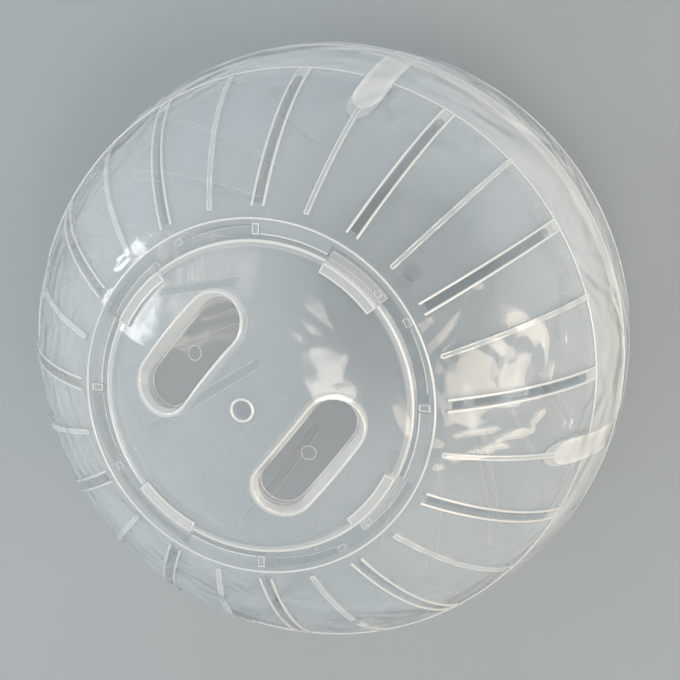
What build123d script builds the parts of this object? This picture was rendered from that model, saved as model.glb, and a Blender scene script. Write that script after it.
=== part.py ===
from build123d import *
from math import acos, asin, cos, degrees, radians, sin, sqrt
import os

os.makedirs("parts", exist_ok=True)

# Hamster ball: two moulded half shells that plug together at the equator and a round
# bayonet door in the upper one.  All sizes in mm, the door axis is +Z, and the ball
# stands on the flat foot of its lower half at Z = 0.

# The ball
ball_radius = 70.0
wall = 1.4
belt_height = 19.3
belt_proud = 0.6
foot_radius = 24.0
pivot_radius = 2.15

# Fits between the pieces
fit_gap = 0.3
seam_gap = 0.2
turn_gap = 0.5

# Air slots with their lips, and the ribs between them
slot_count = 12
slot_width = 2.0
slot_to_collar = 2.8
slot_to_belt = 4.7
lip_width = 0.65
lip_proud = 0.5
lip_to_collar = 1.8
rib_width = 1.3
rib_proud = 0.75
rib_overrun = 0.8
floor_sink = 0.15

# Peg and socket bosses that hold the halves together
boss_count = 4
boss_angle = 45.0
boss_radius = 3.3
boss_inset = 3.95
peg_radius = 1.2
peg_height = 14.0
lap_height = 5.5
lap_wall = 1.2

# Door opening in the upper half: collar, seat, lugs and stops
collar_wall = 1.5
collar_proud = 1.2
flange_room = 1.4
seat_lap = 1.9
seat_wall = 1.2
lug_room = 1.0
lug_wall = 1.1
tab_arc = 24.5
tab_angle = 20.75
lug_angle = 45.75
block_angle = 59.75
block_arc = 2.5
stop_angle = -1.5
stop_arc = 3.0
stop_depth = 1.4
slit_width = 1.1
slit_angle = -15.5
slit_arc = 22.0

# The door
door_radius = 35.7
door_dome = 62.0
door_wall = 1.3
door_drop = 0.7
rim_wall = 1.5
flange_reach = 2.0
flange_wall = 1.2
ridge_wall = 2.5
ridge_inset = 0.2
ridge_height = 4.9
pip_radius = 0.85
pip_proud = 0.2
pip_inset = 2.1
pocket_centre = 17.8
pocket_length = 29.5
pocket_width = 10.6
pocket_depth = 4.2
pocket_draft = 25.0
mark_radius = 1.65
mark_proud = 0.25
eye_wall = 0.6
eye_proud = 0.4

# Gate mark on the upper half
gate_angle = -79.9
gate_radius = 2.2
gate_to_collar = 4.4
gate_sink = 0.2

# Sizes that follow from the ones above
inner_radius = ball_radius - wall
belt_radius = ball_radius + belt_proud
ball_z = sqrt(ball_radius**2 - foot_radius**2)
boss_centre = inner_radius - boss_inset
boss_tip = sqrt(inner_radius**2 - (boss_centre - boss_radius) ** 2)
bore_radius = peg_radius + fit_gap
bore_depth = peg_height + 4.0
lap_radius = inner_radius - fit_gap
flange_radius = door_radius + flange_reach
collar_bore = flange_radius + flange_room
collar_radius = collar_bore + collar_wall
collar_top = sqrt(ball_radius**2 - collar_radius**2) + collar_proud
lug_bore = door_radius + lug_room
lug_bottom = collar_top - lug_wall
flange_top = lug_bottom - turn_gap
flange_bottom = flange_top - flange_wall
seat_top = flange_bottom - fit_gap
seat_bottom = seat_top - seat_wall
seat_bore = door_radius - seat_lap
slot_first_radius = collar_radius + slot_to_collar
slot_last_height = belt_height + slot_to_belt
lip_first_radius = collar_radius + lip_to_collar
door_pole = ball_radius - door_drop
dome_z = door_pole - door_dome
slot_steps = [360.0 / slot_count * i for i in range(slot_count)]
rib_steps = [a + 180.0 / slot_count for a in slot_steps]
boss_steps = [boss_angle + 360.0 / boss_count * i for i in range(boss_count)]
free_rib_steps = [a for a in rib_steps if a not in boss_steps]
quarter_steps = [0.0, 90.0, 180.0, 270.0]


# Latitude on the ball in degrees, from a distance to the axis or from a height
def by_reach(reach):
    return degrees(acos(reach / ball_radius))


def by_height(height):
    return degrees(asin(height / ball_radius))


# A vertical plane through the ball's centre: X runs outward, Y is up, or down where up is -1
def meridian(angle, up=1):
    out = (cos(radians(angle)), sin(radians(angle)), 0)
    side = (up * sin(radians(angle)), -up * cos(radians(angle)), 0)
    return Plane(origin=(0, 0, ball_z), x_dir=out, z_dir=side)


# A level plane at a height above the ball's centre, with X turned to an angle
def level(height, angle=0.0):
    out = (cos(radians(angle)), sin(radians(angle)), 0)
    return Plane(origin=(0, 0, ball_z + height), x_dir=out, z_dir=(0, 0, 1))


# A plane square to the line from a centre on the axis, at a reach along that line
def facing(angle, latitude, reach, centre=0.0):
    flat = cos(radians(latitude))
    way = Vector(flat * cos(radians(angle)), flat * sin(radians(angle)), sin(radians(latitude)))
    along = (-sin(radians(angle)), cos(radians(angle)), 0)
    return Plane(origin=Vector(0, 0, ball_z + centre) + way * reach, x_dir=along, z_dir=way)


# Part of a flat ring between two angles
def arc_band(start, end, inside, outside):
    Circle(outside)
    Circle(inside, mode=Mode.SUBTRACT)
    far = 2 * outside
    turns = [radians(a) for a in (start, (start + end) / 2, end)]
    corners = [(far * cos(a), far * sin(a)) for a in turns]
    Polygon((0, 0), *corners, align=None, mode=Mode.INTERSECT)


# A strip of the ball's skin along each of the given vertical planes
def strip(planes, start, end, inside, outside, width, mode=Mode.ADD):
    with BuildSketch(*planes) as outline:
        arc_band(start, end, inside, outside)
    extrude(outline.sketch, amount=width / 2, both=True, mode=mode)


# An arc of ring around the door axis, repeated in each quarter of the opening
def quarters(angle, arc, inside, outside, bottom, top, mode=Mode.ADD):
    with BuildSketch(*[level(bottom, a) for a in quarter_steps]) as outline:
        arc_band(angle - arc / 2, angle + arc / 2, inside, outside)
    extrude(outline.sketch, amount=top - bottom, mode=mode)


# Solid bosses at the seam, later trimmed to the ball: round inside, running out to the skin
def bosses(up):
    with BuildSketch(*[level(up * seam_gap / 2, a) for a in boss_steps]) as outline:
        with Locations((boss_centre, 0)):
            Circle(boss_radius)
        with Locations(((boss_centre + 2 * belt_radius) / 2, 0)):
            Rectangle(2 * belt_radius - boss_centre, 2 * boss_radius)
    extrude(outline.sketch, amount=up * ball_radius)
    with Locations((0, 0, ball_z)):
        Sphere(belt_radius, mode=Mode.INTERSECT)


# Lipped air slots and ribs on one half; a rib that meets a boss stops at the boss's tip
def slots_and_ribs(up):
    slot_planes = [meridian(a, up) for a in slot_steps]
    free_rib_planes = [meridian(a, up) for a in free_rib_steps]
    boss_rib_planes = [meridian(a, up) for a in boss_steps]
    slot_start = by_height(slot_last_height)
    slot_end = by_reach(slot_first_radius)
    lip_end = by_reach(lip_first_radius)
    belt_start = by_height(belt_height)
    lips = slot_width + 2 * lip_width
    strip(slot_planes, belt_start, lip_end, ball_radius - wall / 2, ball_radius + lip_proud, lips)
    rib_start = belt_start - degrees(rib_overrun / ball_radius)
    rib_root = ball_radius - wall / 2
    rib_top = ball_radius + rib_proud
    strip(free_rib_planes, rib_start, lip_end, rib_root, rib_top, rib_width)
    strip(boss_rib_planes, by_height(boss_tip), lip_end, rib_root, rib_top, rib_width)
    skin = ball_radius - floor_sink
    above = ball_radius + 2 * wall
    strip(slot_planes, slot_start, lip_end + lip_width, skin, above, slot_width, Mode.SUBTRACT)
    strip(slot_planes, slot_start, slot_end, ball_radius - 2 * wall, above, slot_width, Mode.SUBTRACT)
    with BuildSketch(*[facing(a, up * slot_start, inner_radius - wall) for a in slot_steps]) as ends:
        Circle(slot_width / 2)
    extrude(ends.sketch, amount=4 * wall, mode=Mode.SUBTRACT)


belt_edge = sqrt(belt_radius**2 - belt_height**2)
dome_edge = sqrt(ball_radius**2 - belt_height**2)
seam = seam_gap / 2
lap_room = lap_height + turn_gap

# Front half: bosses first, trimmed to the ball, then the turned shell with its collar and seat
with BuildPart() as front_half:
    bosses(1)
    with BuildSketch(meridian(0)):
        with BuildLine():
            rim = (sqrt(belt_radius**2 - seam**2), seam)
            skin_end = (collar_radius, sqrt(ball_radius**2 - collar_radius**2))
            Polyline((inner_radius, lap_room), (inner_radius, seam), rim)
            RadiusArc(rim, (belt_edge, belt_height), -belt_radius)
            Line((belt_edge, belt_height), (dome_edge, belt_height))
            RadiusArc((dome_edge, belt_height), skin_end, -ball_radius)
            seat_root = (sqrt(inner_radius**2 - seat_bottom**2), seat_bottom)
            Polyline(
                skin_end,
                (collar_radius, collar_top),
                (collar_bore, collar_top),
                (collar_bore, seat_top),
                (seat_bore, seat_top),
                (seat_bore, seat_bottom),
                seat_root,
            )
            lap_end = (sqrt(inner_radius**2 - lap_room**2), lap_room)
            RadiusArc(seat_root, lap_end, inner_radius)
            Line(lap_end, (inner_radius, lap_room))
        make_face()
    revolve(axis=Axis.Z)
    slots_and_ribs(1)
    # Sockets for the pegs
    with BuildSketch(*[level(seam, a) for a in boss_steps]):
        with Locations((boss_centre, 0)):
            Circle(bore_radius)
    extrude(amount=bore_depth, mode=Mode.SUBTRACT)
    # Bayonet lugs, their end blocks, the small stops and the slits in the seat
    rooted = collar_bore + collar_wall / 2
    quarters(lug_angle, tab_arc, lug_bore, rooted, lug_bottom, collar_top)
    quarters(block_angle, block_arc, lug_bore, rooted, seat_top, collar_top)
    quarters(stop_angle, stop_arc, collar_bore - stop_depth, rooted, seat_top, flange_top)
    slit_bore = collar_bore - slit_width
    quarters(slit_angle, slit_arc, slit_bore, collar_bore, seat_bottom, seat_top, Mode.SUBTRACT)
    # Round mark left by the moulding gate
    gate_latitude = by_reach(collar_radius + gate_to_collar)
    with BuildSketch(facing(gate_angle, gate_latitude, ball_radius - gate_sink)):
        Circle(gate_radius)
    extrude(amount=wall, mode=Mode.SUBTRACT)
front_half.part.label = "front_half"
export_step(front_half.part, "parts/front_half.step")

# Rear half: the same shell upside down, closed at the pole, with the lap ring and the pegs
with BuildPart() as rear_half:
    bosses(-1)
    with BuildSketch(meridian(0)):
        with BuildLine():
            rim = (sqrt(belt_radius**2 - seam**2), -seam)
            foot = (foot_radius, -ball_z)
            floor = (sqrt(inner_radius**2 - (ball_z - wall) ** 2), wall - ball_z)
            root = (sqrt(inner_radius**2 - lap_height**2), -lap_height)
            lap_foot = (lap_radius - lap_wall, seam - lap_height + lap_wall)
            RadiusArc(rim, (belt_edge, -belt_height), belt_radius)
            Line((belt_edge, -belt_height), (dome_edge, -belt_height))
            RadiusArc((dome_edge, -belt_height), foot, ball_radius)
            Polyline(foot, (0, -ball_z), (0, wall - ball_z), floor)
            RadiusArc(floor, root, -inner_radius)
            Polyline(
                root,
                lap_foot,
                (lap_radius - lap_wall, lap_height),
                (lap_radius, lap_height),
                (lap_radius, -seam),
                rim,
            )
        make_face()
    revolve(axis=Axis.Z)
    slots_and_ribs(-1)
    # Gaps in the lap ring where the sockets come down
    with BuildSketch(*[level(-seam, a) for a in boss_steps]):
        with Locations((boss_centre, 0)):
            Rectangle(4 * boss_radius, 2 * (boss_radius + fit_gap))
    extrude(amount=2 * lap_height, mode=Mode.SUBTRACT)
    # Pegs
    with BuildSketch(*[level(-seam, a) for a in boss_steps]):
        with Locations((boss_centre, 0)):
            Circle(peg_radius)
    extrude(amount=peg_height)
    # Pivot hole through the foot
    with BuildSketch(level(-ball_z)):
        Circle(pivot_radius)
    extrude(amount=2 * wall, mode=Mode.SUBTRACT)
rear_half.part.label = "rear_half"
export_step(rear_half.part, "parts/rear_half.step")

# Door: pocket bodies first, trimmed under the dome, then the turned cap with its rim
pocket_tilt = 90 - degrees(asin(pocket_centre / door_dome))
pocket_steps = [tab_angle, tab_angle + 180]
pocket_reach = door_dome - pocket_depth
with BuildPart() as door:
    with BuildSketch(*[facing(a, pocket_tilt, pocket_reach - door_wall, dome_z) for a in pocket_steps]):
        SlotOverall(pocket_length + 2 * door_wall, pocket_width + 2 * door_wall)
    extrude(amount=2 * pocket_depth, taper=-pocket_draft)
    with Locations((0, 0, ball_z + dome_z)):
        Sphere(door_dome - door_wall / 2, mode=Mode.INTERSECT)
    with BuildSketch(meridian(0)):
        with BuildLine():
            under = door_dome - door_wall
            edge = (door_radius, dome_z + sqrt(door_dome**2 - door_radius**2))
            rim_in = door_radius - rim_wall
            under_edge = (rim_in, dome_z + sqrt(under**2 - rim_in**2))
            RadiusArc((0, door_pole), edge, door_dome)
            Polyline(edge, (door_radius, flange_bottom), (rim_in, flange_bottom), under_edge)
            RadiusArc(under_edge, (0, door_pole - door_wall), -under)
            Line((0, door_pole - door_wall), (0, door_pole))
        make_face()
    revolve(axis=Axis.Z)
    # Bayonet tabs: a ridge above the rim and a flange outside it, with a pip on the flange
    ridge_top = flange_bottom + ridge_height
    ridge_reach = door_radius - ridge_inset
    quarters(tab_angle, tab_arc, ridge_reach - ridge_wall, ridge_reach, flange_top, ridge_top)
    flange_root = door_radius - rim_wall / 2
    quarters(tab_angle, tab_arc, flange_root, flange_radius, flange_bottom, flange_top)
    pip_angle = tab_angle - tab_arc / 2 + degrees(pip_inset / door_radius)
    with BuildSketch(*[level(flange_top, a + pip_angle) for a in quarter_steps]):
        with Locations((door_radius + flange_reach / 2, 0)):
            Circle(pip_radius)
    extrude(amount=pip_proud)
    # Finger pockets with a round mark on each floor
    with BuildSketch(*[facing(a, pocket_tilt, pocket_reach, dome_z) for a in pocket_steps]):
        SlotOverall(pocket_length, pocket_width)
    extrude(amount=2 * pocket_depth, taper=-pocket_draft, mode=Mode.SUBTRACT)
    with BuildSketch(*[facing(a, pocket_tilt, pocket_reach, dome_z) for a in pocket_steps]):
        Circle(mark_radius)
    extrude(amount=mark_proud)
    # Pivot hole with a raised eye
    with BuildSketch(level(door_pole - door_wall)):
        Circle(pivot_radius + eye_wall)
    extrude(amount=door_wall + eye_proud)
    with BuildSketch(level(door_pole - 2 * door_wall)):
        Circle(pivot_radius)
    extrude(amount=4 * door_wall, mode=Mode.SUBTRACT)
door.part.label = "door"
export_step(door.part, "parts/door.step")
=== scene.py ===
# %% [markdown]
# # A hamster ball in milky plastic
# The ball is three mouldings: a front half with a round door opening, a rear half and a
# bayonet door.  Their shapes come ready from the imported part, so this lesson is about what
# the eye sees on them: a thin wall with a little milk in it, edges that collect light and
# turn white, and a gloss that is never quite even.

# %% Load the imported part
import math

import bmesh
import bpy
from mathutils import Matrix, Vector


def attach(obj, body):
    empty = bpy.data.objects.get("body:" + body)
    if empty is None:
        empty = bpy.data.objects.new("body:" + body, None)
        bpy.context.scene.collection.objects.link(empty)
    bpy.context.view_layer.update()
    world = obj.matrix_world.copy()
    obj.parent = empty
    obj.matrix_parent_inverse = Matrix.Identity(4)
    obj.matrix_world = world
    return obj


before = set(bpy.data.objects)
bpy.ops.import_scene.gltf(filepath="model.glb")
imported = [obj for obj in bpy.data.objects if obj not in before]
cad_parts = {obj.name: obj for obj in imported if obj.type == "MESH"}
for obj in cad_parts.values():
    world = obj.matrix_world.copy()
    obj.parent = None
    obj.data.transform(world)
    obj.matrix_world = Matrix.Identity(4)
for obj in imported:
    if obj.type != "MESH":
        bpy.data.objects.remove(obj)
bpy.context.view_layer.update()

# %% [markdown]
# ## Sizes
# Blender works in metres and a moulder in millimetres, so every size of the ball is written in
# millimetres and one constant turns it into metres.  Heights count from the ball's centre,
# and "reach" is the distance from the axis through the door.

# %% Sizes of the ball in millimetres
MM = 0.001
BALL_RADIUS, INNER_RADIUS = 70.0, 68.6
FOOT_RADIUS = 24.0
CENTRE_Z = math.sqrt(BALL_RADIUS**2 - FOOT_RADIUS**2)
BELT_HEIGHT = 19.3
BOSS_REACH, BOSS_RADIUS, BOSS_ANGLE = 64.65, 3.3, 45
BOSS_TIP = math.sqrt(INNER_RADIUS**2 - (BOSS_REACH - BOSS_RADIUS) ** 2)
COLLAR_RADIUS, COLLAR_RISE = 40.6, 1.2
COLLAR_TOP = math.sqrt(BALL_RADIUS**2 - COLLAR_RADIUS**2) + COLLAR_RISE
FLANGE_DROP = 1.6
FLANGE_TOP = COLLAR_TOP - FLANGE_DROP
DOOR_RADIUS, DOOR_DOME, DOOR_SINK = 35.7, 62.0, 0.7
DOOR_TOP = BALL_RADIUS - DOOR_SINK
DOME_Z = DOOR_TOP - DOOR_DOME
TAB_ANGLE, TAB_ARC = 20.75, 24.5
POCKET_REACH, POCKET_DEPTH = 17.8, 4.2
POCKET_LONG, POCKET_WIDE = 29.5, 10.6
POCKET_TILT = math.asin(POCKET_REACH / DOOR_DOME)
print("ball centre at", round(CENTRE_Z, 2), "mm above the floor, boss tips at", round(BOSS_TIP, 2))

# %% [markdown]
# ## Two small helpers
# Colours are written as the hex values that a picture editor shows.  Shaders count in linear
# light, so one function converts them along the sRGB curve.  The other adds a node to any tree,
# sets its options, fills its inputs with values or links, and hands back the output that is
# wanted next.  Inputs go by name, or by number where a node has several of one name or where
# only its first is filled.  A Map Range takes the value at 0, its range at 1 and 2, and what
# the range becomes at 3 and 4.

# %% Helpers
def linear(hex_colour):
    parts = [int(hex_colour[i:i + 2], 16) / 255 for i in (1, 3, 5)]
    return [c / 12.92 if c <= 0.04045 else ((c + 0.055) / 1.055) ** 2.4 for c in parts] + [1.0]


def add(tree, kind, inputs=None, out=0, **settings):
    node = tree.nodes.new(kind)
    for name, value in settings.items():
        setattr(node, name, value)
    for key, value in (inputs or {}).items():
        if isinstance(value, bpy.types.NodeSocket):
            tree.links.new(value, node.inputs[key])
        else:
            node.inputs[key].default_value = value
    return node.outputs[out] if node.outputs else node


print("white is", linear("#ffffff"))

# %% [markdown]
# ## Where on the ball a point lies
# The finish changes with the place: lips and ribs are whiter than the wall, the double wall
# at the seam is denser.  One could paint that by hand on an image, but the places follow the
# ball's own sizes, so Object coordinates and a few maths nodes find them: distance to the
# ball's centre, height, and reach from the door axis, all in millimetres.

# %% Ball coordinates in a material
def ball_measures(tree):
    place = add(tree, "ShaderNodeTexCoord", out="Object")
    to_centre = (0, 0, -CENTRE_Z * MM)
    moved = add(tree, "ShaderNodeVectorMath", {0: place, 1: to_centre}, operation="ADD")
    point = add(tree, "ShaderNodeVectorMath", {0: moved, "Scale": 1 / MM}, operation="SCALE")
    parts = add(tree, "ShaderNodeSeparateXYZ", {0: point}).node.outputs
    flat = add(tree, "ShaderNodeCombineXYZ", {"X": parts["X"], "Y": parts["Y"]})
    return {
        "place": place,
        "point": point,
        "up": parts["Z"],
        "height": add(tree, "ShaderNodeMath", {0: parts["Z"]}, operation="ABSOLUTE"),
        "radius": add(tree, "ShaderNodeVectorMath", {0: point}, out="Value", operation="LENGTH"),
        "reach": add(tree, "ShaderNodeVectorMath", {0: flat}, out="Value", operation="LENGTH"),
    }


print("materials measure from", round(CENTRE_Z, 2), "mm above the floor")

# %% [markdown]
# ## The gloss of polypropylene
# The halves and the door are moulded in polypropylene against a polished tool, so the skin
# is glossy.  It also sinks and ripples a little as it cools, and that is what breaks up the
# reflections of the lamps.  Bending the mesh could show that, but a bump is enough for a gloss.
# It gives the ripples to the skin and to the coat above it.  The noise is distorted, because
# the ripples are drawn out where the plastic flowed.  Alpha will scale the gloss down together
# with the veil, so the coat is a strong one to make up for it.

# %% Start a polypropylene
RIPPLE_SIZE = 26


def polypropylene(name, ripple_depth):
    material = bpy.data.materials.new(name)
    material.use_nodes = True
    tree = material.node_tree
    tree.nodes.clear()
    at = ball_measures(tree)
    ripples = add(tree, "ShaderNodeTexNoise", {
        "Vector": at["place"],
        "Scale": 1 / (RIPPLE_SIZE * MM),
        "Detail": 1.0,
        "Distortion": 2.0,
    })
    normal = add(tree, "ShaderNodeBump", {
        "Height": ripples, "Distance": ripple_depth * MM, "Strength": 1.0})
    shader = add(tree, "ShaderNodeBsdfPrincipled", {
        "Roughness": add(tree, "ShaderNodeMapRange", {0: ripples, 3: 0.09, 4: 0.17}),
        "IOR": 1.49,
        "Specular IOR Level": 1.0,
        "Coat Weight": 1.0,
        "Coat Roughness": 0.10,
        "Coat IOR": 2.0,
        "Normal": normal,
        "Coat Normal": normal,
    })
    add(tree, "ShaderNodeOutputMaterial", {"Surface": shader})
    return material, tree, at, shader.node.inputs


print("ripples of about", RIPPLE_SIZE, "mm from crest to crest")

# %% [markdown]
# ## The veil in the wall
# Crystals in the plastic scatter a little light, so the wall is a pale veil that lets the far
# side through.  Glass with real refraction is the other way to show it, but a wall this thin
# hardly bends what is behind it, so Alpha is enough: it is the share of light that the veil
# stops.  Seen at a slant the way through the wall is longer, and the veil thickens with it.
# Where the moulding is dense the veil is mixed towards white.

# %% Veil
CLOUD_SIZE = 45
CLOUD_SWING = 0.34  # the milk is cloudy: it wanders by about a third
LEAST_FACING = 0.15  # seen edge-on, the way through the wall is long but not endless


def veil_alpha(tree, at, dense, veil, white):
    clouds = add(tree, "ShaderNodeTexNoise", {
        "Vector": at["place"], "Scale": 1 / (CLOUD_SIZE * MM), "Detail": 2.0})
    thin, thick = (1 - CLOUD_SWING) * veil, (1 + CLOUD_SWING) * veil
    # Most of the noise lies between 0.3 and 0.7
    uneven = add(tree, "ShaderNodeMapRange", {0: clouds, 1: 0.3, 2: 0.7, 3: thin, 4: thick})
    share = add(tree, "ShaderNodeMix", {0: dense, 2: uneven, 3: white})
    clear = add(tree, "ShaderNodeMath", {0: 1.0, 1: share}, operation="SUBTRACT")
    slant = add(tree, "ShaderNodeLayerWeight", {"Blend": 0.5}, out="Facing")
    facing = add(tree, "ShaderNodeMath", {0: 1 + LEAST_FACING, 1: slant}, operation="SUBTRACT")
    longer = add(tree, "ShaderNodeMath", {0: 1.0, 1: facing}, operation="DIVIDE")
    through = add(tree, "ShaderNodeMath", {0: clear, 1: longer}, operation="POWER")
    return add(tree, "ShaderNodeMath", {0: 1.0, 1: through}, operation="SUBTRACT")


def milk_colour(tree, dense):
    milk, white = linear("#dbe5eb"), linear("#f8faf9")
    return add(tree, "ShaderNodeMix", {0: dense, 6: milk, 7: white}, out=2, data_type="RGBA")


print("clouds of about", CLOUD_SIZE, "mm in the milk")

# %% [markdown]
# ## Dense places on the half shells
# The lips of the slots, the ribs and the belt stand proud of the ball, and thick plastic
# holds more milk.  At the seam the lap ring doubles the wall, which shows as a white band.
# A Map Range between two close values is a soft step, and steps multiplied together mark the
# places that all of them allow.

# %% Lips, ribs, belt and lap ring
SOFT = 0.2  # most steps are this wide
PROUD = 0.1  # what stands this far above a dome counts as raised
COLLAR_MARGIN = 0.4  # the collar itself stays as clear as the wall
LAP_HEIGHT = 5.5
RIB_WHITE, BELT_WHITE, LAP_WHITE = 0.42, 0.32, 0.75


def proud_places(tree, at):
    skin = BALL_RADIUS + PROUD
    collar = COLLAR_RADIUS + COLLAR_MARGIN
    belt_end = BELT_HEIGHT + SOFT
    proud = add(tree, "ShaderNodeMapRange", {0: at["radius"], 1: skin, 2: skin + SOFT})
    above = add(tree, "ShaderNodeMapRange", {0: at["height"], 1: BELT_HEIGHT, 2: belt_end})
    beyond = add(tree, "ShaderNodeMapRange", {
        0: at["reach"], 1: collar, 2: collar + SOFT, 3: 0.0, 4: RIB_WHITE})
    raised = add(tree, "ShaderNodeMath", {0: proud, 1: above}, operation="MULTIPLY")
    bead = add(tree, "ShaderNodeMath", {0: raised, 1: beyond}, operation="MULTIPLY")
    belt = add(tree, "ShaderNodeMapRange", {
        0: at["height"], 1: belt_end, 2: BELT_HEIGHT, 3: 0.0, 4: BELT_WHITE})
    return add(tree, "ShaderNodeMath", {0: bead, 1: belt}, operation="MAXIMUM")


def lap_places(tree, at):
    over = add(tree, "ShaderNodeMapRange", {0: at["up"], 1: 0.0, 2: SOFT / 2})
    under = add(tree, "ShaderNodeMapRange", {
        0: at["up"], 1: LAP_HEIGHT + 2 * SOFT, 2: LAP_HEIGHT, 3: 0.0, 4: LAP_WHITE})
    return add(tree, "ShaderNodeMath", {0: over, 1: under}, operation="MULTIPLY")


print("white up to", LAP_HEIGHT, "mm above the seam, paler up to", BELT_HEIGHT, "mm")

# %% [markdown]
# The four bosses that take the pegs are solid posts.  Where such a post runs out on the
# round wall it leaves a leaf, pointed at the top, and the skin above it looks white because
# the plastic behind it is thick.  Each point of the skin is first drawn in a little past the
# wall, so that the leaf also covers the end of the rib above it.  The four leaves are folded
# into one by taking the absolute value of X and Y, and the leaf is measured along and across
# its diagonal.  "Room" is the boss's radius squared less the way across squared: nothing at the
# sides of the leaf, and most in its middle.

# %% Leaves of the bosses
DRAW_IN = 0.963
DIAGONAL = math.sqrt(0.5)
TIP_SOFT = 0.3
SIDE_ROOM = 1.5
OUTER_FROM, OUTER_TO = 58.0, 60.0  # reach along the diagonal where the leaf sets in
SKIN_RADIUS = BALL_RADIUS - 0.8  # only the outer skin shows the leaf
CORE_FROM, CORE_TO, CORE_WHITE = 4.5, 8.0, 0.75


def boss_places(tree, at):
    drawn_in = add(tree, "ShaderNodeVectorMath", {0: at["point"], "Scale": DRAW_IN},
                   operation="SCALE")
    folded = add(tree, "ShaderNodeVectorMath", {0: drawn_in}, operation="ABSOLUTE")
    height = add(tree, "ShaderNodeSeparateXYZ", {0: folded}, out="Z")
    along = add(tree, "ShaderNodeVectorMath", {0: folded, 1: (DIAGONAL, DIAGONAL, 0)},
                out="Value", operation="DOT_PRODUCT")
    across = add(tree, "ShaderNodeVectorMath", {0: folded, 1: (-DIAGONAL, DIAGONAL, 0)},
                 out="Value", operation="DOT_PRODUCT")
    square = add(tree, "ShaderNodeMath", {0: across, 1: across}, operation="MULTIPLY")
    room = add(tree, "ShaderNodeMath", {0: BOSS_RADIUS**2, 1: square}, operation="SUBTRACT")
    inside = add(tree, "ShaderNodeMath", {0: room, 1: 0.0}, operation="MAXIMUM")
    depth = add(tree, "ShaderNodeMath", {0: inside}, operation="SQRT")
    near = add(tree, "ShaderNodeMath", {0: BOSS_REACH, 1: depth}, operation="SUBTRACT")
    squared = add(tree, "ShaderNodeMath", {0: near, 1: near}, operation="MULTIPLY")
    rest = add(tree, "ShaderNodeMath", {0: INNER_RADIUS**2, 1: squared}, operation="SUBTRACT")
    tip = add(tree, "ShaderNodeMath", {0: rest}, operation="SQRT")
    under = add(tree, "ShaderNodeMath", {0: tip, 1: height}, operation="SUBTRACT")
    below = add(tree, "ShaderNodeMapRange", {0: under, 1: -TIP_SOFT, 2: TIP_SOFT})
    within = add(tree, "ShaderNodeMapRange", {0: room, 1: 0.0, 2: SIDE_ROOM})
    outer = add(tree, "ShaderNodeMapRange", {0: along, 1: OUTER_FROM, 2: OUTER_TO})
    skin = add(tree, "ShaderNodeMapRange", {
        0: at["radius"], 1: SKIN_RADIUS, 2: SKIN_RADIUS + SOFT})
    leaf = add(tree, "ShaderNodeMath", {0: below, 1: within}, operation="MULTIPLY")
    leaf = add(tree, "ShaderNodeMath", {0: leaf, 1: skin}, operation="MULTIPLY")
    boss = add(tree, "ShaderNodeMath", {0: leaf, 1: outer}, operation="MULTIPLY")
    # The post is cored for the peg, so its middle is less white than its border
    middle = add(tree, "ShaderNodeMapRange", {
        0: room, 1: CORE_FROM, 2: CORE_TO, 3: 1.0, 4: CORE_WHITE})
    return add(tree, "ShaderNodeMath", {0: boss, 1: middle}, operation="MULTIPLY")


print("leaves end at about", round(BOSS_TIP / DRAW_IN, 1), "mm from the seam")

# %% [markdown]
# The gate, where the plastic was shot in, leaves a round mark near the collar.  There the
# wall is a little thinner, so the veil is thinner too.  With that the shells' plastic is
# complete.

# %% Plastic of the half shells
GATE_ANGLE, GATE_REACH, GATE_RADIUS = -79.9, 45.0, 2.2
GATE_VEIL = 0.5
shell_plastic, tree, at, sockets = polypropylene("polypropylene_shell", ripple_depth=2.2)
dense = proud_places(tree, at)
for places in (lap_places(tree, at), boss_places(tree, at)):
    dense = add(tree, "ShaderNodeMath", {0: dense, 1: places}, operation="MAXIMUM")
gate_turn = math.radians(GATE_ANGLE)
gate_x, gate_y = GATE_REACH * math.cos(gate_turn), GATE_REACH * math.sin(gate_turn)
gate = (gate_x, gate_y, math.sqrt(BALL_RADIUS**2 - GATE_REACH**2))
away = add(tree, "ShaderNodeVectorMath", {0: at["point"], 1: gate},
           out="Value", operation="DISTANCE")
thinner = add(tree, "ShaderNodeMapRange", {
    0: away, 1: GATE_RADIUS, 2: GATE_RADIUS + SOFT, 3: GATE_VEIL, 4: 1.0})
stopped = veil_alpha(tree, at, dense, veil=0.20, white=0.78)
stopped = add(tree, "ShaderNodeMath", {0: stopped, 1: thinner}, operation="MULTIPLY")
tree.links.new(milk_colour(tree, dense), sockets["Base Color"])
tree.links.new(stopped, sockets["Alpha"])
for node in ("front_half", "rear_half"):
    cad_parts[node].material_slots[0].material = shell_plastic
print(shell_plastic.name, "has", len(tree.nodes), "nodes")

# %% [markdown]
# ## Places on the door
# The bayonet ridges, the eye of the pivot and the rim are thick and so whiter.  The two
# finger pockets are blind troughs: their walls are seen edge-on and turn white, and their
# floors were left dull by a spark-eroded tool.  The pockets are found as the leaves were:
# turned to their own line, folded into one, tilted until the floor lies level.  What counts
# then is the distance to the pocket's spine.

# %% Ridges, rim and pockets
RIM_FROM, RIM_TO = 34.0, 34.3
RIDGE_WHITE, RIM_WHITE, WALL_WHITE = 0.8, 0.5, 0.8
FLOOR_EDGE, WALL_EDGE = POCKET_WIDE / 2 + 0.1, POCKET_WIDE / 2 + 2.1
SPINE_HALF = (POCKET_LONG - POCKET_WIDE) / 2


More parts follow.
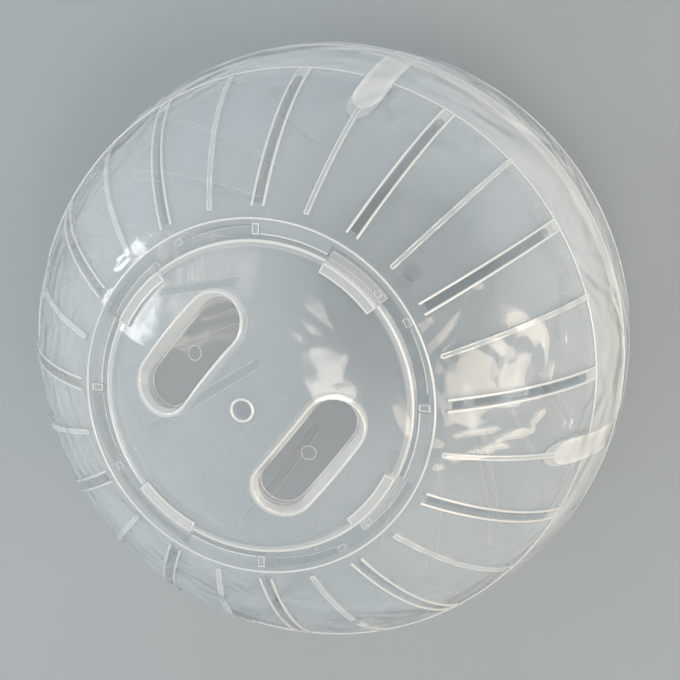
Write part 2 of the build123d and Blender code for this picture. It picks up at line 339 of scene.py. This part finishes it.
def door_places(tree, at):
    from_dome = add(tree, "ShaderNodeVectorMath", {0: at["point"], 1: (0, 0, -DOME_Z)},
                    operation="ADD")
    dome = add(tree, "ShaderNodeVectorMath", {0: from_dome}, out="Value", operation="LENGTH")
    skin = DOOR_DOME + PROUD
    raised = add(tree, "ShaderNodeMapRange", {
        0: dome, 1: skin, 2: skin + SOFT, 3: 0.0, 4: RIDGE_WHITE})
    rim = add(tree, "ShaderNodeMapRange", {
        0: at["reach"], 1: RIM_FROM, 2: RIM_TO, 3: 0.0, 4: RIM_WHITE})
    return add(tree, "ShaderNodeMath", {0: raised, 1: rim}, operation="MAXIMUM"), from_dome


def pocket_places(tree, from_dome):
    turned = add(tree, "ShaderNodeVectorRotate", {
        "Vector": from_dome, "Angle": -math.radians(TAB_ANGLE)}, rotation_type="Z_AXIS")
    folded = add(tree, "ShaderNodeVectorMath", {0: turned}, operation="ABSOLUTE")
    tilted = add(tree, "ShaderNodeVectorRotate", {
        "Vector": folded, "Angle": -POCKET_TILT}, rotation_type="Y_AXIS")
    parts = add(tree, "ShaderNodeSeparateXYZ", {0: tilted}).node.outputs
    past = add(tree, "ShaderNodeMath", {0: parts["Y"], 1: SPINE_HALF}, operation="SUBTRACT")
    past = add(tree, "ShaderNodeMath", {0: past, 1: 0.0}, operation="MAXIMUM")
    spine = add(tree, "ShaderNodeCombineXYZ", {"X": parts["X"], "Y": past})
    away = add(tree, "ShaderNodeVectorMath", {0: spine}, out="Value", operation="LENGTH")
    floor = add(tree, "ShaderNodeMapRange", {0: away, 1: FLOOR_EDGE + SOFT, 2: FLOOR_EDGE - SOFT})
    wall = add(tree, "ShaderNodeMapRange", {
        0: away, 1: WALL_EDGE + SOFT, 2: WALL_EDGE - SOFT, 3: 0.0, 4: WALL_WHITE})
    return add(tree, "ShaderNodeMath", {0: wall, 1: floor}, operation="SUBTRACT"), floor


print("pocket floors of", POCKET_LONG, "by", POCKET_WIDE, "mm")

# %% Plastic of the door
DULL_ROUGHNESS = 0.5
door_plastic, tree, at, sockets = polypropylene("polypropylene_door", ripple_depth=0.9)
thick, from_dome = door_places(tree, at)
wall, floor = pocket_places(tree, from_dome)
dense = add(tree, "ShaderNodeMath", {0: thick, 1: wall}, operation="MAXIMUM")
colours = {0: floor, 6: milk_colour(tree, dense), 7: linear("#969590")}
colour = add(tree, "ShaderNodeMix", colours, out=2, data_type="RGBA")
gloss = sockets["Roughness"].links[0].from_socket
roughness = add(tree, "ShaderNodeMix", {0: floor, 2: gloss, 3: DULL_ROUGHNESS})
tree.links.new(colour, sockets["Base Color"])
tree.links.new(roughness, sockets["Roughness"])
tree.links.new(veil_alpha(tree, at, dense, veil=0.18, white=0.62), sockets["Alpha"])
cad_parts["door"].material_slots[0].material = door_plastic
print(door_plastic.name, "has", len(tree.nodes), "nodes")

# %% [markdown]
# ## Bright edges
# A moulded edge is never sharp: the tool leaves a small round on it, and the round collects
# light and shows as a white line.  A bevel could round the imported shapes, but the line is
# thinner than their facets, so each one is laid on as a fine bead of nearly solid white plastic.
# Its white is partly the denser plastic of the edge and partly a painted highlight for the light
# that the round collects.

# %% Plastic of the edges, white with a painted highlight
edge_highlight_plastic, tree, at, sockets = polypropylene("polypropylene_edge", ripple_depth=0.3)
# near-white and nearly solid: a painted highlight of the rounded edge over its denser plastic
sockets["Base Color"].default_value = linear("#f8faf9")
sockets["Alpha"].default_value = 0.85
print(edge_highlight_plastic.name, "has", len(tree.nodes), "nodes")

# %% [markdown]
# The beads repeat around the door axis, so Geometry Nodes draws one path and turns copies of
# it.  Every tree below ends the same way: a round section along the path, copies about the
# axis, a lift to the ball's centre, and then Realize Instances and Set Material, so that the
# result can become a plain mesh.

# %% The shared end of the bead trees
SHARED_INPUTS = [
    ("Count", "Int"), ("First angle", "Float"), ("Bead radius", "Float"), ("Material", "Material")]


def new_tree(name, *lengths_and_angles):
    tree = bpy.data.node_groups.new(name, "GeometryNodeTree")
    tree.interface.new_socket("Geometry", in_out="OUTPUT", socket_type="NodeSocketGeometry")
    for label, kind in SHARED_INPUTS + [(label, "Float") for label in lengths_and_angles]:
        tree.interface.new_socket(label, in_out="INPUT", socket_type="NodeSocket" + kind)
    return tree, add(tree, "NodeGroupInput").node.outputs


def turn_copies(tree, given, path):
    section = add(tree, "GeometryNodeCurvePrimitiveCircle", {
        "Resolution": 8, "Radius": given["Bead radius"]})
    bead = add(tree, "GeometryNodeCurveToMesh", {
        "Curve": path, "Profile Curve": section, "Fill Caps": True})
    points = add(tree, "GeometryNodePoints", {"Count": given["Count"]})
    step = add(tree, "ShaderNodeMath", {0: math.tau, 1: given["Count"]}, operation="DIVIDE")
    index = add(tree, "GeometryNodeInputIndex")
    turn = add(tree, "ShaderNodeMath", {0: index, 1: step, 2: given["First angle"]},
               operation="MULTIPLY_ADD")
    euler = add(tree, "ShaderNodeCombineXYZ", {"Z": turn})
    way = add(tree, "FunctionNodeEulerToRotation", {0: euler})
    copies = add(tree, "GeometryNodeInstanceOnPoints", {
        "Points": points, "Instance": bead, "Rotation": way})
    lifted = add(tree, "GeometryNodeTransform", {
        "Geometry": copies, "Translation": (0, 0, CENTRE_Z * MM)})
    real = add(tree, "GeometryNodeRealizeInstances", {0: lifted})
    smooth = add(tree, "GeometryNodeSetShadeSmooth", {0: real})
    painted = add(tree, "GeometryNodeSetMaterial", {
        "Geometry": smooth, "Material": given["Material"]})
    add(tree, "NodeGroupOutput", {0: painted})
    print(tree.name, "has", len(tree.nodes), "nodes")


print("every bead tree asks for", [label for label, kind in SHARED_INPUTS])

# %% [markdown]
# The first tree draws a pair of lines along a meridian of the ball, for the two lips of each
# slot: one arc, stood upright and shifted to either side.

# %% Pairs of lines along meridians
tree, given = new_tree("meridian_beads", "Arc radius", "From latitude", "To latitude", "Side step")
sweep = add(tree, "ShaderNodeMath", {0: given["To latitude"], 1: given["From latitude"]},
            operation="SUBTRACT")
arc = add(tree, "GeometryNodeCurveArc", {
    "Resolution": 36,
    "Radius": given["Arc radius"],
    "Start Angle": given["From latitude"],
    "Sweep Angle": sweep,
}, mode="RADIUS")
aside = add(tree, "ShaderNodeCombineXYZ", {"Y": given["Side step"]})
other = add(tree, "ShaderNodeVectorMath", {0: aside, "Scale": -1.0}, operation="SCALE")
pair = add(tree, "GeometryNodeJoinGeometry")
for offset in (aside, other):
    upright = add(tree, "GeometryNodeTransform", {
        "Geometry": arc, "Rotation": (math.pi / 2, 0, 0), "Translation": offset})
    tree.links.new(upright, pair.node.inputs[0])
turn_copies(tree, given, pair)
meridian_tree = tree

# %% [markdown]
# The second tree draws level arcs, for the belt, the seam, the collar and the door's rim.

# %% Level arcs
tree, given = new_tree("level_beads", "Arc radius", "Height", "Sweep")
arc = add(tree, "GeometryNodeCurveArc", {
    "Resolution": 48,
    "Radius": given["Arc radius"],
    "Start Angle": 0.0,
    "Sweep Angle": given["Sweep"],
}, mode="RADIUS")
lift = add(tree, "ShaderNodeCombineXYZ", {"Z": given["Height"]})
level = add(tree, "GeometryNodeTransform", {"Geometry": arc, "Translation": lift})
turn_copies(tree, given, level)
level_tree = tree

# %% [markdown]
# The third tree bends a rounded oblong onto a sphere: the ribs, the pockets' edges and the
# round marks are all such outlines.  The flat outline is set on a plane that touches the
# sphere, leaned over, and each point is pulled back to the sphere along its own ray.  "Along"
# is its size with the meridian and "across" the size at right angles to that.  The corners are
# rounded by just under half the short side, which keeps the fillets apart.

# %% Rounded outlines on a dome
FILLET_SHARE = 0.4999
tree, given = new_tree("dome_beads", "Dome radius", "Dome height", "Tilt", "Across", "Along")
oblong = add(tree, "GeometryNodeCurvePrimitiveQuadrilateral", {
    "Width": given["Along"], "Height": given["Across"]}, mode="RECTANGLE")
short = add(tree, "ShaderNodeMath", {0: given["Along"], 1: given["Across"]}, operation="MINIMUM")
half = add(tree, "ShaderNodeMath", {0: short, 1: FILLET_SHARE}, operation="MULTIPLY")
fillet = add(tree, "GeometryNodeFilletCurve", {
    "Curve": oblong, "Radius": half, "Count": 6}, mode="POLY")
finer = add(tree, "GeometryNodeSubdivideCurve", {"Curve": fillet, "Cuts": 5})
out = add(tree, "ShaderNodeCombineXYZ", {"Z": given["Dome radius"]})
placed = add(tree, "GeometryNodeTransform", {"Geometry": finer, "Translation": out})
euler = add(tree, "ShaderNodeCombineXYZ", {"Y": given["Tilt"]})
lean = add(tree, "FunctionNodeEulerToRotation", {0: euler})
leaned = add(tree, "GeometryNodeTransform", {"Geometry": placed, "Rotation": lean})
position = add(tree, "GeometryNodeInputPosition")
ray = add(tree, "ShaderNodeVectorMath", {0: position}, operation="NORMALIZE")
on_dome = add(tree, "ShaderNodeVectorMath", {0: ray, "Scale": given["Dome radius"]},
              operation="SCALE")
up = add(tree, "ShaderNodeCombineXYZ", {"Z": given["Dome height"]})
seat = add(tree, "ShaderNodeVectorMath", {0: on_dome, 1: up}, operation="ADD")
bent = add(tree, "GeometryNodeSetPosition", {"Geometry": leaned, "Position": seat})
turn_copies(tree, given, bent)
dome_tree = tree

# %% [markdown]
# The fourth tree outlines a piece of a flat ring, for the door's tabs and the blocks and stops
# beside them.  A grid of one metre is rolled into the ring's sector, and the edges that have a
# face on one side only are its outline.

# %% Outlines of ring sectors
tree, given = new_tree("sector_beads", "Inside radius", "Outside radius", "Height", "Sweep")
grid = add(tree, "GeometryNodeMeshGrid", {
    "Size X": 1.0, "Size Y": 1.0, "Vertices X": 2, "Vertices Y": 25})
position = add(tree, "GeometryNodeInputPosition")
spot = add(tree, "ShaderNodeSeparateXYZ", {0: position}).node.outputs
reach = add(tree, "ShaderNodeMapRange", {
    0: spot["X"], 1: -0.5, 2: 0.5, 3: given["Inside radius"], 4: given["Outside radius"]})
angle = add(tree, "ShaderNodeMath", {0: spot["Y"], 1: given["Sweep"]}, operation="MULTIPLY")
cosine = add(tree, "ShaderNodeMath", {0: angle}, operation="COSINE")
sine = add(tree, "ShaderNodeMath", {0: angle}, operation="SINE")
rolled = add(tree, "ShaderNodeCombineXYZ", {
    "X": add(tree, "ShaderNodeMath", {0: reach, 1: cosine}, operation="MULTIPLY"),
    "Y": add(tree, "ShaderNodeMath", {0: reach, 1: sine}, operation="MULTIPLY"),
    "Z": given["Height"],
})
sector = add(tree, "GeometryNodeSetPosition", {"Geometry": grid, "Position": rolled})
faces = add(tree, "GeometryNodeInputMeshEdgeNeighbors")
border = add(tree, "FunctionNodeCompare", {2: faces, 3: 1}, data_type="INT", operation="EQUAL")
outline = add(tree, "GeometryNodeMeshToCurve", {"Mesh": sector, "Selection": border})
turn_copies(tree, given, outline)
sector_tree = tree

# %% [markdown]
# ## Run the trees
# A modifier runs a tree.  Its inputs are set by each socket's identifier, and the evaluated
# result is copied to a plain mesh, so that nothing live is left on the finished piece.  The
# meshes of one kind are then joined, and the piece rides on its body.

# %% From trees to pieces
def bead_mesh(tree, **sizes):
    carrier = bpy.data.objects.new("carrier", bpy.data.meshes.new("carrier"))
    bpy.context.scene.collection.objects.link(carrier)
    run = carrier.modifiers.new("beads", "NODES")
    run.node_group = tree
    sizes["material"] = edge_highlight_plastic
    for item in tree.interface.items_tree:
        if item.in_out == "INPUT":
            run[item.identifier] = sizes[item.name.replace(" ", "_").lower()]
    bpy.context.view_layer.update()
    evaluated = carrier.evaluated_get(bpy.context.evaluated_depsgraph_get())
    mesh = bpy.data.meshes.new_from_object(evaluated)
    bpy.data.objects.remove(carrier)
    return mesh


def bead_piece(name, body, meshes):
    joined = bmesh.new()
    for mesh in meshes:
        joined.from_mesh(mesh)
    whole = bpy.data.meshes.new(name)
    joined.to_mesh(whole)
    joined.free()
    whole.materials.append(edge_highlight_plastic)
    piece = bpy.data.objects.new(name, whole)
    bpy.context.scene.collection.objects.link(piece)
    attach(piece, body)
    print(name, "rides on", body, "with", len(whole.polygons), "faces")


print("beads are made of", edge_highlight_plastic.name)

# %% [markdown]
# Nearly everything on the ball comes in fours.  Three short functions hand sizes in
# millimetres and degrees to the trees, which count in metres and radians; only a tilt comes
# in radians.  For the arcs "first" is where the first one starts, and for the others it is the
# middle of the first one.

# %% Beads in millimetres and degrees
def four_arcs(bead, reach, height, first=0.0, sweep=90.0):
    return bead_mesh(
        level_tree, count=4, first_angle=math.radians(first), bead_radius=bead * MM,
        arc_radius=reach * MM, height=height * MM, sweep=math.radians(sweep))


def four_sectors(bead, inside, outside, height, first, sweep):
    return bead_mesh(
        sector_tree, count=4, first_angle=math.radians(first), bead_radius=bead * MM,
        inside_radius=inside * MM, outside_radius=outside * MM, height=height * MM,
        sweep=math.radians(sweep))


def outlines(bead, dome, dome_height, tilt, across, along, first, count=4):
    return bead_mesh(
        dome_tree, count=count, first_angle=math.radians(first), bead_radius=bead * MM,
        dome_radius=dome * MM, dome_height=dome_height * MM, tilt=tilt,
        across=across * MM, along=along * MM)


print("a full ring is four arcs of 90 degrees")

# %% [markdown]
# ## Edges of the half shells
# Each rib is a narrow closed outline, and each slot has a line along either lip.  Eight ribs
# run just past the belt's edge; the four above the bosses stop at the tips of the leaves.

# %% Ribs and slot lips
SLOT_COUNT = 12
LIP_REACH = 42.4
LIP_BEAD, LIP_DOME, LIP_ASIDE = 0.3, 70.4, 1.33
RIB_BEAD, RIB_DOME, RIB_WIDTH = 0.17, 70.66, 0.9
RIB_STEP = 360 / SLOT_COUNT
PAST_BELT = 0.0114  # radians, 0.8 mm on the ball
belt_latitude = math.asin(BELT_HEIGHT / BALL_RADIUS)
boss_latitude = math.asin(BOSS_TIP / BALL_RADIUS)
lip_latitude = math.acos(LIP_REACH / BALL_RADIUS)
rib_latitude = belt_latitude - PAST_BELT
rib_ends = (
    (BOSS_ANGLE - RIB_STEP, rib_latitude),
    (BOSS_ANGLE, boss_latitude),
    (BOSS_ANGLE + RIB_STEP, rib_latitude),
)
for body, side in (("front", 1), ("rear", -1)):
    ribs = []
    for first, low in rib_ends:
        tilt = math.pi / 2 - side * (lip_latitude + low) / 2
        along = 2 * RIB_DOME * math.tan((lip_latitude - low) / 2)
        ribs.append(outlines(RIB_BEAD, RIB_DOME, 0.0, tilt, RIB_WIDTH, along, first))
    bead_piece(body + "_rib_edges", body, ribs)
    lips = bead_mesh(
        meridian_tree, count=SLOT_COUNT, first_angle=0.0, bead_radius=LIP_BEAD * MM,
        arc_radius=LIP_DOME * MM, side_step=LIP_ASIDE * MM,
        from_latitude=side * belt_latitude, to_latitude=side * lip_latitude)
    bead_piece(body + "_slot_lips", body, [lips])

# %% [markdown]
# The belt stands a little proud of the domes and its two edges catch the light, broken only
# by the leaves.  At the seam the rims of the two halves show as a pair of fine lines.

# %% Belt and seam
BELT_RADIUS, BELT_BEAD = 70.6, 0.2
SEAM_BEAD, SEAM_SINK, SEAM_HEIGHT = 0.15, 0.1, 0.3
belt_reach = math.sqrt(BELT_RADIUS**2 - BELT_HEIGHT**2)
boss_half = math.degrees(math.asin(BOSS_RADIUS / BOSS_REACH))
for body, side in (("front", 1), ("rear", -1)):
    belt_edge = four_arcs(
        BELT_BEAD, belt_reach, side * BELT_HEIGHT, BOSS_ANGLE + boss_half, 90 - 2 * boss_half)
    rim = four_arcs(SEAM_BEAD, BELT_RADIUS - SEAM_SINK, side * SEAM_HEIGHT)
    bead_piece(body + "_belt_edges", body, [belt_edge, rim])

# %% [markdown]
# ## Edges of the door opening and of the door
# The collar shows as one crisp ring and its four lugs as short arcs inside it.  The inner edge
# of the seat that the door lies on shows through the door as a fine line.  A block at the end
# of each lug and a small stop between the lugs end the door's turn, and a slit in the seat
# runs beside each stop.  Each bead is sunk a little into its edge, so that only its round shows.

# %% Collar, lugs and seat
COLLAR_BORE = 39.1
COLLAR_BEAD, COLLAR_INSET, COLLAR_SINK = 0.26, 0.25, 0.12
LUG_BORE, LUG_ANGLE = 36.7, 45.75
LUG_BEAD, LUG_SINK = 0.2, 0.15
SEAT_BORE, SEAT_TOP, SEAT_BEAD = 33.8, FLANGE_TOP - 1.5, 0.12
collar = four_arcs(COLLAR_BEAD, COLLAR_RADIUS - COLLAR_INSET, COLLAR_TOP - COLLAR_SINK)
lugs = four_arcs(
    LUG_BEAD, LUG_BORE + LUG_BEAD, COLLAR_TOP - LUG_SINK, LUG_ANGLE - TAB_ARC / 2, TAB_ARC)
seat = four_arcs(SEAT_BEAD, SEAT_BORE + SEAT_BEAD, SEAT_TOP - SEAT_BEAD)
print("seat", round(COLLAR_TOP - SEAT_TOP, 1), "mm below the collar's edge")

# %% Blocks, stops and slits
BLOCK_ANGLE, BLOCK_ARC, BLOCK_BEAD, BLOCK_SINK = 59.75, 2.02, 0.16, 0.08
STOP_ANGLE, STOP_ARC, STOP_BEAD, STOP_SINK = -1.5, 2.58, 0.14, 0.06
STOP_INSIDE = COLLAR_BORE - 1.4
SLIT_ANGLE, SLIT_ARC, SLIT_BEAD, SLIT_SINK = -15.5, 22.0, 0.1, 0.04
SLIT_REACH = COLLAR_BORE - 1.15
blocks = four_sectors(
    BLOCK_BEAD, LUG_BORE + BLOCK_BEAD, COLLAR_BORE, COLLAR_TOP - BLOCK_SINK,
    BLOCK_ANGLE, BLOCK_ARC)
stops = four_sectors(
    STOP_BEAD, STOP_INSIDE + STOP_BEAD, COLLAR_BORE, FLANGE_TOP - STOP_SINK,
    STOP_ANGLE, STOP_ARC)
slits = four_arcs(
    SLIT_BEAD, SLIT_REACH, SEAT_TOP - SLIT_SINK, SLIT_ANGLE - SLIT_ARC / 2, SLIT_ARC)
bead_piece("collar_edges", "front", [collar, lugs, seat, blocks, stops, slits])

# %% [markdown]
# On the door the rim between the tabs, the tabs' ridges and flanges with their round pips,
# the two edges of each pocket, the mark on its floor and the eye of the pivot are outlined.
# A pip's ring is level, so its dome has a radius of a metre, which is flat over so small a ring.

# %% Rim and tabs of the door
RIM_BEAD, RIM_SINK = 0.42, 0.15
RIM_REACH = DOOR_RADIUS - 0.4
RIDGE_BEAD, RIDGE_SINK, RIDGE_INSIDE = 0.26, 0.1, 33.2
RIDGE_ARC, FLANGE_ARC = TAB_ARC - 0.7, TAB_ARC - 0.5
RIDGE_TOP = FLANGE_TOP + 3.7
FLANGE_BEAD, FLANGE_SINK = 0.13, 0.06
FLANGE_INSIDE, FLANGE_OUTSIDE = 35.9, 37.55
PIP_BEAD, PIP_RISE, PIP_WIDTH = 0.12, 0.15, 1.6
PIP_ANGLE, PIP_REACH, PIP_DOME = 11.87, 36.7, 1000.0
rim_height = DOME_Z + math.sqrt(DOOR_DOME**2 - RIM_REACH**2)
rim = four_arcs(
    RIM_BEAD, RIM_REACH, rim_height - RIM_SINK, TAB_ANGLE + TAB_ARC / 2, 90 - TAB_ARC)
ridges = four_sectors(
    RIDGE_BEAD, RIDGE_INSIDE, RIM_REACH, RIDGE_TOP - RIDGE_SINK, TAB_ANGLE, RIDGE_ARC)
flanges = four_sectors(
    FLANGE_BEAD, FLANGE_INSIDE, FLANGE_OUTSIDE, FLANGE_TOP - FLANGE_SINK,
    TAB_ANGLE, FLANGE_ARC)
pip_centre = FLANGE_TOP + PIP_RISE - math.sqrt(PIP_DOME**2 - PIP_REACH**2)
pip_tilt = math.asin(PIP_REACH / PIP_DOME)
pips = outlines(PIP_BEAD, PIP_DOME, pip_centre, pip_tilt, PIP_WIDTH, PIP_WIDTH, PIP_ANGLE)
bead_piece("door_tab_edges", "door", [rim, ridges, flanges, pips])

# %% Pockets and eye of the door
FLOOR_DOME = DOOR_DOME - POCKET_DEPTH
MOUTH_BEAD, MOUTH_SINK, MOUTH_LONG, MOUTH_WIDE = 0.31, 0.2, 33.0, 14.2
FLOOR_BEAD, FLOOR_RISE, FLOOR_MARGIN = 0.2, 0.5, 0.2
MARK_BEAD, MARK_RISE, MARK_WIDTH = 0.08, 0.25, 3.3
EYE_BEAD, EYE_REACH, EYE_RISE = 0.3, 2.45, 0.35
pocket_lines = (
    (MOUTH_BEAD, DOOR_DOME - MOUTH_SINK, MOUTH_LONG, MOUTH_WIDE),
    (FLOOR_BEAD, FLOOR_DOME + FLOOR_RISE, POCKET_LONG + FLOOR_MARGIN, POCKET_WIDE + FLOOR_MARGIN),
    (MARK_BEAD, FLOOR_DOME + MARK_RISE, MARK_WIDTH, MARK_WIDTH),
)
pocket_beads = []
for bead, dome, across, along in pocket_lines:
    pocket_beads.append(outlines(
        bead, dome, DOME_Z, POCKET_TILT, across, along, TAB_ANGLE, count=2))
eye = four_arcs(EYE_BEAD, EYE_REACH, DOOR_TOP + EYE_RISE)
bead_piece("door_pocket_edges", "door", pocket_beads + [eye])

# %% [markdown]
# ## Floor and backdrop
# The ball lies on a sheet of pale matt paper.  The paper near the ball is lit and keeps the
# ball's shadow.  Further away it fades into an even pale tone, and so does the world, for
# what the camera and the gloss of the plastic see of them; the light itself isn't changed by
# that.  The sheet is a stage, not a piece of the ball, and lies a hair below zero.  It is
# measured in metres.

# %% What the camera and the gloss see of the backdrop
BACKDROP = linear("#a8afb2")


def seen_share(tree):
    ray = add(tree, "ShaderNodeLightPath").node.outputs
    gloss = add(tree, "ShaderNodeMath", {
        0: ray["Is Glossy Ray"], 1: ray["Is Transmission Ray"]}, operation="MAXIMUM")
    return add(tree, "ShaderNodeMath", {0: gloss, 1: ray["Is Camera Ray"]}, operation="MAXIMUM")


print("backdrop in linear light:", [round(c, 3) for c in BACKDROP])

# %% Floor
SHEET_SIZE, SHEET_DROP = 6, 0.0003
FADE_FROM, FADE_TO = 0.16, 0.60
bpy.ops.mesh.primitive_plane_add(size=SHEET_SIZE, location=(0, 0, -SHEET_DROP))
paper_sheet = bpy.context.object
paper_sheet.name = "floor"
paper = bpy.data.materials.new("matt_paper")
paper.use_nodes = True
tree = paper.node_tree
tree.nodes.clear()
lit = add(tree, "ShaderNodeBsdfPrincipled", {"Base Color": linear("#a6adb1"), "Roughness": 0.9})
even = add(tree, "ShaderNodeEmission", {"Color": BACKDROP, "Strength": 1.0})
place = add(tree, "ShaderNodeTexCoord", out="Object")
away = add(tree, "ShaderNodeVectorMath", {0: place}, out="Value", operation="LENGTH")
far = add(tree, "ShaderNodeMapRange", {0: away, 1: FADE_FROM, 2: FADE_TO},
          interpolation_type="SMOOTHSTEP")
share = add(tree, "ShaderNodeMath", {0: far, 1: seen_share(tree)}, operation="MULTIPLY")
faded = add(tree, "ShaderNodeMixShader", {0: share, 1: lit, 2: even})
add(tree, "ShaderNodeOutputMaterial", {"Surface": faded})
paper_sheet.data.materials.append(paper)
print("floor of", paper.name)

# %% World
world = bpy.data.worlds.new("studio")
bpy.context.scene.world = world
world.use_nodes = True
tree = world.node_tree
tree.nodes.clear()
room_light = add(tree, "ShaderNodeBackground", {"Color": linear("#d2d6d8"), "Strength": 0.6})
backdrop = add(tree, "ShaderNodeBackground", {"Color": BACKDROP, "Strength": 1.0})
mixed = add(tree, "ShaderNodeMixShader", {0: seen_share(tree), 1: room_light, 2: backdrop})
add(tree, "ShaderNodeOutputWorld", {"Surface": mixed})
print("world lights with", world.name)

# %% [markdown]
# ## Light
# The photograph was lit from above and from both sides.  A glossy ball shows every lamp as it
# is, so three lamps are sized and placed to make their reflections where the photograph has
# them, and two of these are a little warm.  The other two only fill: they are hidden from the
# gloss.  All are placed in metres from the ball's centre along the camera's own axes, which the
# camera uses as well.

# %% Softboxes
CAMERA_RIGHT = Vector((-0.49198, -0.82267, -0.28490))
CAMERA_UP = Vector((0.86843, -0.44058, -0.22744))
CAMERA_BACK = Vector((0.06158, -0.35931, 0.93118))
centre = Vector((0, 0, CENTRE_Z * MM))


def softbox(name, right, up, back, size, watts, tint="#ffffff", shows=True):
    lamp = bpy.data.lights.new(name, "AREA")
    lamp.shape = "RECTANGLE"
    lamp.size, lamp.size_y = size
    lamp.energy = watts
    lamp.color = linear(tint)[:3]
    holder = bpy.data.objects.new(name, lamp)
    bpy.context.scene.collection.objects.link(holder)
    offset = right * CAMERA_RIGHT + up * CAMERA_UP + back * CAMERA_BACK
    holder.location = centre + offset
    holder.rotation_euler = offset.to_track_quat("Z", "Y").to_euler()
    holder.visible_camera = False
    holder.visible_glossy = shows
    print(name, "at", [round(c, 2) for c in holder.location])


softbox("softbox_above", 0.05, -0.22, 0.95, (0.32, 0.24), watts=2.0, tint="#fff3e3")
softbox("softbox_left", -0.96, 0.26, 0.07, (0.34, 0.26), watts=1.7)
softbox("softbox_right", 0.80, -0.26, 0.42, (0.50, 0.80), watts=6.0, tint="#ffead2")
softbox("fill_up", -0.06, 0.96, 0.60, (0.90, 0.60), watts=4.2, shows=False)
softbox("fill_low", -0.92, -0.54, 0.20, (0.90, 0.60), watts=5.2, shows=False)

# %% [markdown]
# ## Camera
# The place and the three axes of the camera were worked out from the outline of the ball and
# the ellipse of its collar in the photograph.  Many veils lie behind each other, so the light
# must be allowed to pass through more of them than usual.

# %% Camera
CAMERA_PLACE = (0.04192, -0.25249, 0.71729)
lens = bpy.data.cameras.new("camera")
lens.lens = 154.7
lens.sensor_width = 36
camera = bpy.data.objects.new("camera", lens)
bpy.context.scene.collection.objects.link(camera)
axes = Matrix((CAMERA_RIGHT, CAMERA_UP, CAMERA_BACK)).transposed().to_4x4()
camera.matrix_world = Matrix.Translation(CAMERA_PLACE) @ axes
bpy.context.scene.camera = camera
bpy.context.scene.view_settings.view_transform = "Standard"
bpy.context.scene.cycles.transparent_max_bounces = 32
print("camera at", [round(c, 3) for c in camera.location])
